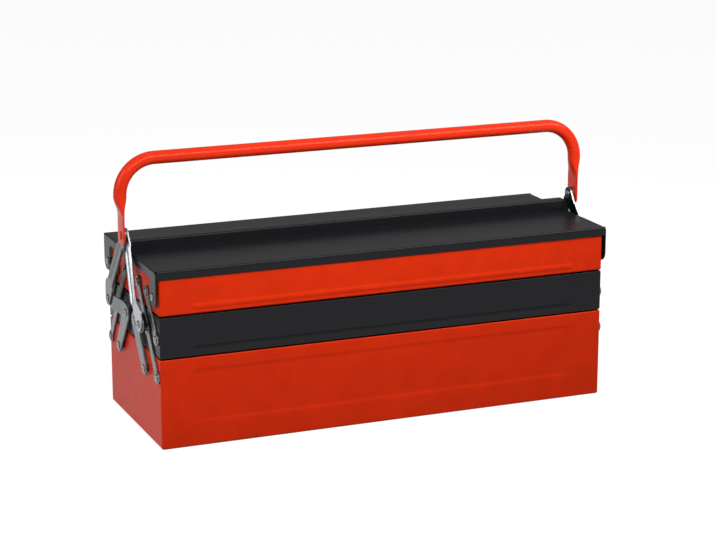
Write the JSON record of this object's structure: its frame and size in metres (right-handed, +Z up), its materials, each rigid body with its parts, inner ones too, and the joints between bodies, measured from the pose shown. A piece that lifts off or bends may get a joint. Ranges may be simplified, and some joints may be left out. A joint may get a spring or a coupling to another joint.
{
  "type": "cantilever tool box",
  "caption": "Sheet-steel cantilever tool box whose lidded top trays and middle trays swing outwards on riveted links as the tubular carrying handle drops.",
  "frame": {"origin": "centre of the underside of the bottom box", "axes": "+X along the length, -Y towards the front half, +Z up"},
  "size_m": [0.5794, 0.1982, 0.3145],
  "materials": {
    "red_powder_coat": "semi-gloss powder coat",
    "black_powder_coat": "semi-gloss powder coat",
    "zinc_steel": "zinc-plated, satin",
    "handle_red": "gloss paint"
  },
  "bodies": {
    "box": {"bottom_box": "red_powder_coat", "box_rivets": "zinc_steel"},
    "front_long_links": {"front_left_long_link": "zinc_steel", "front_right_long_link": "zinc_steel"},
    "front_levers": {"front_left_lever": "zinc_steel", "front_right_lever": "zinc_steel", "front_elbow_rivets": "zinc_steel"},
    "front_middle_tray": {"front_middle_tray": "black_powder_coat", "front_middle_tray_rivets": "zinc_steel"},
    "front_top_tray": {"front_top_tray": "red_powder_coat", "front_top_tray_rivets": "zinc_steel", "front_lid_rivets": "zinc_steel"},
    "front_upper_links": {"front_left_upper_link": "zinc_steel", "front_right_upper_link": "zinc_steel"},
    "front_lid": {"front_lid": "black_powder_coat"},
    "front_arms": {"front_left_arm": "zinc_steel", "front_right_arm": "zinc_steel"},
    "rear_long_links": {"rear_left_long_link": "zinc_steel", "rear_right_long_link": "zinc_steel"},
    "rear_levers": {"rear_left_lever": "zinc_steel", "rear_right_lever": "zinc_steel", "rear_elbow_rivets": "zinc_steel"},
    "rear_middle_tray": {"rear_middle_tray": "black_powder_coat", "rear_middle_tray_rivets": "zinc_steel"},
    "rear_top_tray": {"rear_top_tray": "red_powder_coat", "rear_top_tray_rivets": "zinc_steel", "rear_lid_rivets": "zinc_steel"},
    "rear_upper_links": {"rear_left_upper_link": "zinc_steel", "rear_right_upper_link": "zinc_steel"},
    "rear_lid": {"rear_lid": "black_powder_coat"},
    "rear_arms": {"rear_left_arm": "zinc_steel", "rear_right_arm": "zinc_steel"},
    "handle": {"handle": "handle_red", "handle_rivets": "zinc_steel"}
  },
  "joints": [
    {"name": "fold", "type": "hinge", "parent": "box", "child": "front_long_links", "pos_m": [0, -0.089, 0.081], "axis": [1, 0, 0], "range_deg": [0, 69]},
    {"name": "front_levers_turn", "type": "hinge", "parent": "box", "child": "front_levers", "pos_m": [0, -0.04896, 0.081], "axis": [1, 0, 0], "range_deg": [0, 69]},
    {"name": "front_middle_tray_level", "type": "hinge", "parent": "front_long_links", "child": "front_middle_tray", "pos_m": [0, -0.05704, 0.1275], "axis": [1, 0, 0], "range_deg": [-69, 0]},
    {"name": "front_top_tray_level", "type": "hinge", "parent": "front_long_links", "child": "front_top_tray", "pos_m": [0, -0.02508, 0.174], "axis": [1, 0, 0], "range_deg": [-69, 0]},
    {"name": "front_upper_links_turn", "type": "hinge", "parent": "front_middle_tray", "child": "front_upper_links", "pos_m": [0, -0.08804, 0.124], "axis": [1, 0, 0], "range_deg": [0, 69]},
    {"name": "front_arms_turn", "type": "hinge", "parent": "front_levers", "child": "front_arms", "pos_m": [0, -0.06, 0.135], "axis": [1, 0, 0], "range_deg": [-113.4, 0]},
    {"name": "front_lid_open", "type": "hinge", "parent": "front_top_tray", "child": "front_lid", "pos_m": [0, -0.086, 0.172], "axis": [1, 0, 0], "range_deg": [0, 105]},
    {"name": "rear_long_links_turn", "type": "hinge", "parent": "box", "child": "rear_long_links", "pos_m": [0, 0.089, 0.081], "axis": [-1, 0, 0], "range_deg": [0, 69]},
    {"name": "rear_levers_turn", "type": "hinge", "parent": "box", "child": "rear_levers", "pos_m": [0, 0.04896, 0.081], "axis": [-1, 0, 0], "range_deg": [0, 69]},
    {"name": "rear_middle_tray_level", "type": "hinge", "parent": "rear_long_links", "child": "rear_middle_tray", "pos_m": [0, 0.05704, 0.1275], "axis": [-1, 0, 0], "range_deg": [-69, 0]},
    {"name": "rear_top_tray_level", "type": "hinge", "parent": "rear_long_links", "child": "rear_top_tray", "pos_m": [0, 0.02508, 0.174], "axis": [-1, 0, 0], "range_deg": [-69, 0]},
    {"name": "rear_upper_links_turn", "type": "hinge", "parent": "rear_middle_tray", "child": "rear_upper_links", "pos_m": [0, 0.08804, 0.124], "axis": [-1, 0, 0], "range_deg": [0, 69]},
    {"name": "rear_arms_turn", "type": "hinge", "parent": "rear_levers", "child": "rear_arms", "pos_m": [0, 0.06, 0.135], "axis": [-1, 0, 0], "range_deg": [-113.4, 0]},
    {"name": "rear_lid_open", "type": "hinge", "parent": "rear_top_tray", "child": "rear_lid", "pos_m": [0, 0.086, 0.172], "axis": [-1, 0, 0], "range_deg": [0, 105]},
    {"name": "handle_level", "type": "hinge", "parent": "front_arms", "child": "handle", "pos_m": [0, 0, 0.222], "axis": [1, 0, 0], "range_deg": [0, 44.4]}
  ],
  "couplings": [
    {"joint": "front_levers_turn", "follows": "fold", "ratio": 1},
    {"joint": "front_middle_tray_level", "follows": "fold", "ratio": -1},
    {"joint": "front_top_tray_level", "follows": "fold", "ratio": -1},
    {"joint": "front_upper_links_turn", "follows": "fold", "ratio": 1},
    {"joint": "front_arms_turn", "follows": "fold", "ratio": -1.6422},
    {"joint": "rear_long_links_turn", "follows": "fold", "ratio": 1},
    {"joint": "rear_levers_turn", "follows": "fold", "ratio": 1},
    {"joint": "rear_middle_tray_level", "follows": "fold", "ratio": -1},
    {"joint": "rear_top_tray_level", "follows": "fold", "ratio": -1},
    {"joint": "rear_upper_links_turn", "follows": "fold", "ratio": 1},
    {"joint": "rear_arms_turn", "follows": "fold", "ratio": -1.6422},
    {"joint": "handle_level", "follows": "fold", "ratio": 0.6422}
  ]
}
